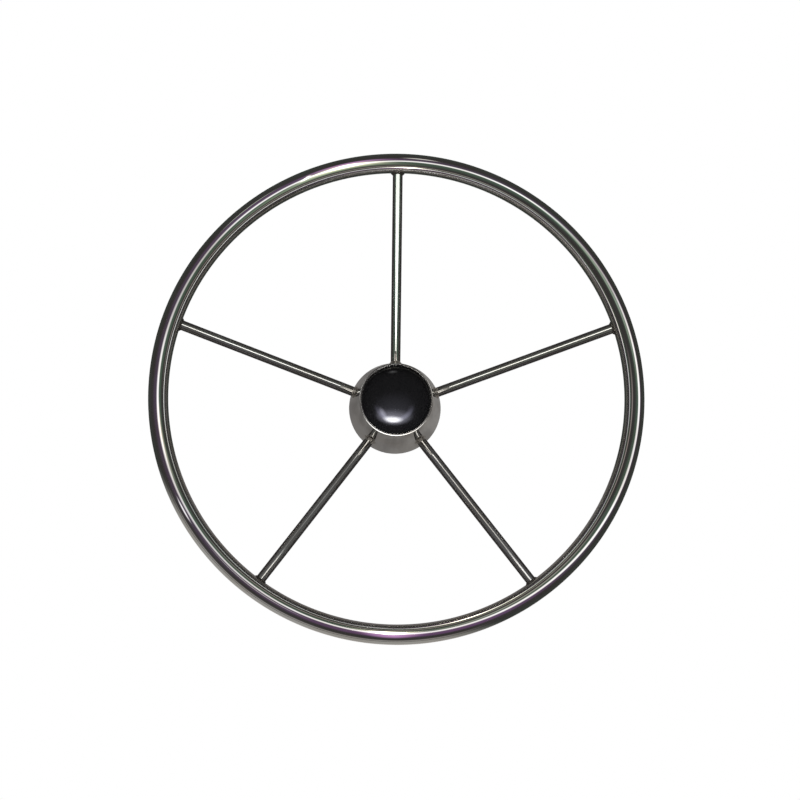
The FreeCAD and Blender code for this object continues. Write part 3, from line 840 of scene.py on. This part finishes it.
ROD_LAMPS = {
    1: [
        (12, 50, 205, 80, 0, 0.2, (1.38, 1.46, 1.42)),
        (12, -30, 150, 60, 0, 0.2, (1.30, 1.38, 1.34)),
        (12, -120, 90, 90, 0, 0.2, (1.30, 1.34, 1.30)),
        (12, -10, 600, 260, 0, 0.6, (0.030, 0.075, 0.052)),
    ],
    2: [
        (-70, 14, 230, 42, 15, 0.4, (1.9, 1.94, 1.84)),
        (0, -170, 600, 110, 0, 0.6, (0.085, 0.098, 0.086)),
        (0, 190, 600, 120, 0, 0.6, (0.060, 0.070, 0.062)),
    ],
    3: [
        (30, 34, 28, 22, 33, 0.5, (1.0, 1.05, 1.15)),
        (-24, -12, 34, 22, 0, 0.5, (1.8, 1.8, 1.7)),
        (-40, 140, 44, 110, 33, 0.8, (0.95, 0.94, 0.88)),
        (-104, 238, 44, 66, 33, 0.3, (3.2, 3.2, 3.1)),
        (0, 100, 800, 500, 0, 0.6, (0.060, 0.062, 0.068)),
    ],
    4: [
        (-6, 34, 28, 22, -33, 0.5, (0.40, 0.42, 0.45)),
        (48, -12, 34, 22, 0, 0.5, (1.6, 1.6, 1.5)),
        (64, 140, 44, 110, -33, 0.8, (0.20, 0.20, 0.20)),
        (128, 238, 44, 66, -33, 0.3, (1.7, 1.7, 1.65)),
        (0, 100, 800, 500, 0, 0.6, (0.062, 0.066, 0.066)),
    ],
    5: [
        (95, 14, 230, 42, -15, 0.4, (1.9, 1.94, 1.90)),
        (0, -170, 600, 110, 0, 0.6, (0.070, 0.072, 0.078)),
        (0, 190, 600, 120, 0, 0.6, (0.064, 0.076, 0.068)),
    ],
}
CAP_LAMPS = [
    (-34, -203, 78, 36, 0, 0.8, (18.0, 18.0, 18.0)),
    (-34, -192, 150, 70, 0, 0.95, (3.2, 3.2, 3.8)),
    (-140, -120, 26, 46, 30, 0.8, (3.0, 3.0, 3.6)),
    (-20, -110, 170, 120, 0, 0.95, (0.34, 0.34, 0.42)),
    (-60, 640, 70, 90, 0, 0.7, (0.7, 0.7, 0.7)),
    (0, 0, 620, 620, 0, 0.9, (0.070, 0.070, 0.076)),
]
HUB_LAMPS = [
    (0, -6, 34, 18, 0, 0.7, (3.6, 3.6, 3.5)),
    (0, 4, 60, 28, 0, 0.8, (0.20, 0.19, 0.185)),
    (0, 128, 40, 26, 0, 0.8, (0.7, 0.7, 0.68)),
    (98, 66, 38, 34, 0, 0.8, (2.0, 2.0, 1.95)),
    (-98, 66, 38, 34, 0, 0.8, (2.0, 2.0, 1.95)),
    (119, -99, 60, 54, 0, 0.8, (2.0, 2.0, 1.95)),
    (-119, -99, 60, 54, 0, 0.8, (2.0, 2.0, 1.95)),
]
# Where the rim's bright line is dimmed: the same place and size values, and how much light is taken away
RIM_DIMS = [
    (268, 225, 110, 80, -50, 0.5, 0.58),
    (-165, 122, 50, 90, 50, 0.6, 0.45),
    (-150, -90, 60, 70, 0, 0.8, 0.35),
    (330, -40, 90, 60, 0, 0.8, 0.30),
]


def stage_sheet(name, points, faces, colour_of):
    """A glowing studio sheet that only mirrors see, and that light passes through."""
    mesh = bpy.data.meshes.new(name)
    mesh.from_pydata([tuple(point) for point in points], [], faces)
    mesh.update()
    sheet = bpy.data.objects.new(name, mesh)
    bpy.context.scene.collection.objects.link(sheet)
    material = bpy.data.materials.new(name)
    material.cycles.emission_sampling = "NONE"
    material.use_nodes = True
    tree = material.node_tree
    tree.nodes.clear()
    place = add_node(tree, "ShaderNodeTexCoord").outputs["Object"]
    parts = add_node(tree, "ShaderNodeSeparateXYZ", None, i0=place)
    glow = add_node(tree, "ShaderNodeEmission", None, Color=colour_of(tree, parts), Strength=1.0)
    clear = tree.nodes.new("ShaderNodeBsdfTransparent")
    both = add_node(tree, "ShaderNodeAddShader", None, i0=glow.outputs[0], i1=clear.outputs[0])
    output = tree.nodes.new("ShaderNodeOutputMaterial")
    tree.links.new(both.outputs[0], output.inputs["Surface"])
    mesh.materials.append(material)
    sheet.visible_camera = False
    sheet.visible_diffuse = False
    sheet.visible_transmission = False
    sheet.visible_shadow = False
    sheet.visible_volume_scatter = False
    return sheet


STAGE_STEPS = 96


def disc_mesh(depth, radius):
    """Points and faces of a flat disc across the shaft axis."""
    points = [Vector((0, depth, 0))] + turned_points([(radius, depth)], STAGE_STEPS)
    faces = [(0, 1 + step, 1 + (step + 1) % STAGE_STEPS) for step in range(STAGE_STEPS)]
    return points, faces


# Ovals on the cards: middle x and z, half width and half height, in mm
BAND_INNER = (92, 35, 257, 200)
BAND_OUTER = (150, 35, 365, 238)
CRESCENT = (-25, -20, 200, 190)
TABLE_OVAL = (-5, -122, 205, 138)
BAND_LIGHT = (1.45, 1.45, 1.48)
CRESCENT_LIGHT = (1.5, 1.5, 2.0)
GREEN_GLOW = (0.040, 0.090, 0.056)
VIOLET_GLOW = (0.050, 0.026, 0.070)
PALE_WALL = (0.36, 0.35, 0.34)
WALL_MIDDLE = math.radians(245)


def rim_card_colour(tree, parts):
    """An oval ring with a green glow inside and a violet one outside, and soft lamps."""
    inner = oval_reach(tree, parts, *BAND_INNER)
    outer = oval_reach(tree, parts, *BAND_OUTER)
    band = window(tree, mapped(tree, inner, 0.90, 1.06), mapped(tree, outer, 1.12, 0.94))
    glow_in = window(tree, mapped(tree, inner, 0.30, 0.85), mapped(tree, inner, 1.05, 0.95))
    glow_out = window(tree, mapped(tree, outer, 0.95, 1.05), mapped(tree, outer, 2.0, 1.0))
    for x, z, width, height, tilt, softness, dimming in RIM_DIMS:
        reach = oval_reach(tree, parts, x, z, width, height, tilt)
        band = window(tree, band, mapped(tree, reach, 1 - softness, 1 + softness, 1 - dimming, 1.0))
    total = scaled(tree, band, BAND_LIGHT)
    total = added(tree, total, scaled(tree, glow_in, GREEN_GLOW))
    total = added(tree, total, scaled(tree, glow_out, VIOLET_GLOW))
    total = added(tree, total, scaled(tree, pale_wall(tree, parts, 0.5, 1.3), PALE_WALL))
    return with_lamps(tree, parts, total, RIM_LAMPS)


def lamp_card(lamps):
    """The colour of a card that is dark except for its lamps."""
    return lambda tree, parts: with_lamps(tree, parts, (0.0, 0.0, 0.0), lamps)


def cap_card_colour(tree, parts):
    """A crescent of light below, its bright middle, and a faint spot above."""
    ring = oval_reach(tree, parts, *CRESCENT)
    band = window(tree, mapped(tree, ring, 0.70, 0.95), mapped(tree, ring, 1.25, 1.0))
    below = mapped(tree, parts.outputs[2], -20 * MM, -160 * MM)
    total = scaled(tree, window(tree, band, below), CRESCENT_LIGHT)
    return with_lamps(tree, parts, total, CAP_LAMPS)


TABLE_DEPTH = 12 * MM
TABLE_RADIUS = 265 * MM
TABLE_LEFT = (0.135, 0.130, 0.126, 1)
TABLE_RIGHT = (0.205, 0.198, 0.190, 1)
TABLE_SHADED = (0.008, 0.016, 0.011, 1)
TABLE_OPEN = (0.125, 0.116, 0.114, 1)
FILL_LOW = (0.22, 0.215, 0.21, 1)
FILL_HIGH = (0.50, 0.49, 0.48, 1)
SIDE_WALL_FRONT = -270 * MM
SIDE_WALL_BACK = 200 * MM
SIDE_WALL_LOW = (0.11, 0.11, 0.11, 1)
SIDE_WALL_HIGH = (0.22, 0.215, 0.21, 1)
# One lamp for each rod's back: its distance from the shaft axis and its half sizes in mm, and its light
BACK_LAMP_OUT = 340
BACK_LAMP_WIDTH = 50
BACK_LAMP_HEIGHT = 100
BACK_LAMP_SOFTNESS = 0.5
BACK_LAMP_LIGHT = (1.2, 1.2, 1.2)


def hub_table_colour(tree, parts):
    """The grey-brown table behind the wheel, as the hub shows it, a little lighter to the right."""
    side = mapped(tree, parts.outputs[0], -60 * MM, 60 * MM)
    tone = mixed(tree, side, TABLE_LEFT, TABLE_RIGHT)
    place = add_node(tree, "ShaderNodeTexCoord").outputs["Object"]
    blotch = mapped(tree, noise(tree, place, 60.0, 2.0, 0.5), 0.3, 0.7, 0.80, 1.14)
    return scaled(tree, tone, blotch)


def pale_wall(tree, parts, near, far):
    """Where a pale wall stands, from the left round to below. It fades in between two radii in metres."""
    radius = oval_reach(tree, parts, 0, 0, 1000, 1000)
    right = math_node(tree, "MULTIPLY", parts.outputs[0], math.cos(WALL_MIDDLE))
    toward = math_node(tree, "MULTIPLY_ADD", parts.outputs[2], math.sin(WALL_MIDDLE), right)
    sector = mapped(tree, math_node(tree, "DIVIDE", toward, radius), 0.60, 0.84)
    return window(tree, sector, mapped(tree, radius, near, far))


def rim_table_colour(tree, parts):
    """The same table as the rim shows it, dark where the hub shades it."""
    edge = oval_reach(tree, parts, *TABLE_OVAL)
    tone = mixed(tree, mapped(tree, edge, 1.0, 0.84), TABLE_SHADED, TABLE_OPEN)
    return added(tree, tone, scaled(tree, pale_wall(tree, parts, 0.19, 0.205), PALE_WALL))


def hub_fill_colour(tree, parts):
    """A soft grey in front of the hub's weld beads, stronger from above."""
    return mixed(tree, mapped(tree, parts.outputs[2], -0.3, 0.4), FILL_LOW, FILL_HIGH)


def rod_back_lamps(number):
    """The lamp behind the wheel that one rod's back mirrors, out beyond the rod itself."""
    spot = spoke_turn(number) @ Vector((0, 0, BACK_LAMP_OUT))
    tilt = -360 * (number - 1) / SPOKES
    size = (BACK_LAMP_WIDTH, BACK_LAMP_HEIGHT)
    return [(spot.x, spot.z, *size, tilt, BACK_LAMP_SOFTNESS, BACK_LAMP_LIGHT)]


def side_wall_colour(tree, parts):
    """Soft light all round the hub's cone, stronger from above. The rim's inner side shows the cone in it."""
    tone = mixed(tree, mapped(tree, parts.outputs[2], -0.5, 0.6), SIDE_WALL_LOW, SIDE_WALL_HIGH)
    return scaled(tree, tone, mapped(tree, parts.outputs[1], 20 * MM, -160 * MM, 0.45, 1.0))


def lights_only(light, name, pieces):
    """Lets a light reach only these objects."""
    group = bpy.data.collections.new(name)
    for piece in pieces:
        group.objects.link(piece)
    light.light_linking.receiver_collection = group


def add_card(name, depth, radius, colour_of, pieces):
    """A disc-shaped light sheet across the shaft axis that only these pieces mirror."""
    card = stage_sheet(name, *disc_mesh(depth, radius), colour_of)
    lights_only(card, f"{name}_lights", pieces)


def make_cards(rim, cone, beads, rods, cap):
    """The light cards in front of the wheel, the tables and lamps behind it, and the wall round the hub.

    Each sheet reaches only the pieces that mirror it. The cards in front lie a millimetre apart.
    """
    front = RIM_PLANE - CARD_DISTANCE
    add_card("rim_card", front, WIDE_RADIUS, rim_card_colour, rim)
    for number, lamps in ROD_LAMPS.items():
        rod = [rods[number - 1]]
        back = CARD_DISTANCE + number * MM
        add_card(f"rod_card_{number}", front - (3 + number) * MM, CARD_RADIUS, lamp_card(lamps), rod)
        add_card(f"rod_back_{number}", back, CARD_RADIUS, lamp_card(rod_back_lamps(number)), rod)
    add_card("cap_card", front - 2 * MM, CARD_RADIUS, cap_card_colour, cap)
    add_card("hub_card", front - 3 * MM, CARD_RADIUS, lamp_card(HUB_LAMPS), cone + beads)
    add_card("hub_fill", front - 1 * MM, CARD_RADIUS, hub_fill_colour, beads)
    add_card("rim_table", TABLE_DEPTH, WIDE_RADIUS, rim_table_colour, rim)
    add_card("hub_table", TABLE_DEPTH + 1 * MM, TABLE_RADIUS, hub_table_colour, cone + beads)
    profile = [(CARD_RADIUS, SIDE_WALL_FRONT), (CARD_RADIUS, SIDE_WALL_BACK)]
    faces = grid_faces(len(profile), STAGE_STEPS, False, True)
    side_wall = stage_sheet("side_wall", turned_points(profile, STAGE_STEPS), faces, side_wall_colour)
    lights_only(side_wall, "side_wall_lights", cone)


FLOOR_LEVEL = -0.62
FLOOR_RADIUS = 3.0
FLOOR_RINGS = 24
PAPER_DARK = (0.80, 0.80, 0.79, 1)
PAPER_LIGHT = (0.84, 0.84, 0.83, 1)


def floor_paper():
    """Pale matt paper that fades out towards the floor's edge."""
    material, tree, shader = new_material("floor_paper")
    place = add_node(tree, "ShaderNodeTexCoord").outputs["Object"]
    fibre = noise(tree, place, 300.0, 2.0, 0.5)
    tree.links.new(mixed(tree, fibre, PAPER_DARK, PAPER_LIGHT), shader.inputs["Base Color"])
    shader.inputs["Roughness"].default_value = 0.9
    far = add_node(tree, "ShaderNodeVectorMath", {"operation": "LENGTH"}, i0=place).outputs["Value"]
    fade = mapped(tree, far, 0.45 * FLOOR_RADIUS, 0.98 * FLOOR_RADIUS)
    clear = tree.nodes.new("ShaderNodeBsdfTransparent")
    blend = tree.nodes.new("ShaderNodeMixShader")
    tree.links.new(fade, blend.inputs[0])
    tree.links.new(shader.outputs[0], blend.inputs[1])
    tree.links.new(clear.outputs[0], blend.inputs[2])
    tree.links.new(blend.outputs[0], tree.nodes["Material Output"].inputs["Surface"])
    return material


def make_floor():
    """A plain pale floor well below the wheel, which fades into the backdrop."""
    points = [Vector((0, 0, FLOOR_LEVEL))]
    for ring in range(1, FLOOR_RINGS + 1):
        for step in range(STAGE_STEPS):
            angle = FULL_TURN * step / STAGE_STEPS
            radius = FLOOR_RADIUS * ring / FLOOR_RINGS
            points.append(Vector((radius * math.cos(angle), radius * math.sin(angle), FLOOR_LEVEL)))
    faces = [(0, 1 + step, 1 + (step + 1) % STAGE_STEPS) for step in range(STAGE_STEPS)]
    for ring in range(FLOOR_RINGS - 1):
        for step in range(STAGE_STEPS):
            here = 1 + ring * STAGE_STEPS + step
            following = 1 + ring * STAGE_STEPS + (step + 1) % STAGE_STEPS
            faces.append((here, here + STAGE_STEPS, following + STAGE_STEPS, following))
    mesh = bpy.data.meshes.new("floor")
    mesh.from_pydata([tuple(point) for point in points], [], faces)
    mesh.update()
    floor = bpy.data.objects.new("floor", mesh)
    bpy.context.scene.collection.objects.link(floor)
    mesh.materials.append(floor_paper())
    floor.visible_glossy = False


def make_lamp(name, place, aim, size, power):
    """A soft square lamp, aimed from one place at another."""
    data = bpy.data.lights.new(name, "AREA")
    data.size = size
    data.energy = power
    lamp = bpy.data.objects.new(name, data)
    bpy.context.scene.collection.objects.link(lamp)
    lamp.location = place
    lamp.rotation_mode = "QUATERNION"
    lamp.rotation_quaternion = (Vector(aim) - Vector(place)).to_track_quat("-Z", "Y")
    return lamp


make_camera()
make_world()
make_floor()
# These light the floor and the duller steel inside the hub. The polished pieces mirror the sheets instead.
lamps = [
    make_lamp("key_lamp", (-0.7, -1.2, 1.5), (0, 0, -0.2), 1.2, 26),
    make_lamp("fill_lamp", (1.1, 0.6, 1.3), (0, 0, -0.2), 1.2, 14),
    make_lamp("back_lamp", (-0.5, 1.3, 0.5), (0, 0, 0), 0.9, 10),
]
make_pieces()
everything = bpy.context.scene.objects
dull = [everything[name] for name in ("hub_web", "hub_boss", "web_bead", "boss_bead", "floor")]
for lamp in lamps:
    lights_only(lamp, f"{lamp.name}_lights", dull)
rods = [everything[f"rod_{number}"] for number in range(1, SPOKES + 1)]
hub_beads = [everything[f"hub_bead_{number}"] for number in range(1, SPOKES + 1)]
make_cards([everything["rim_ring"]], [everything["hub_cone"]], hub_beads, rods, [everything["cap_dome"]])

scene = bpy.context.scene
scene.view_settings.view_transform = "Standard"
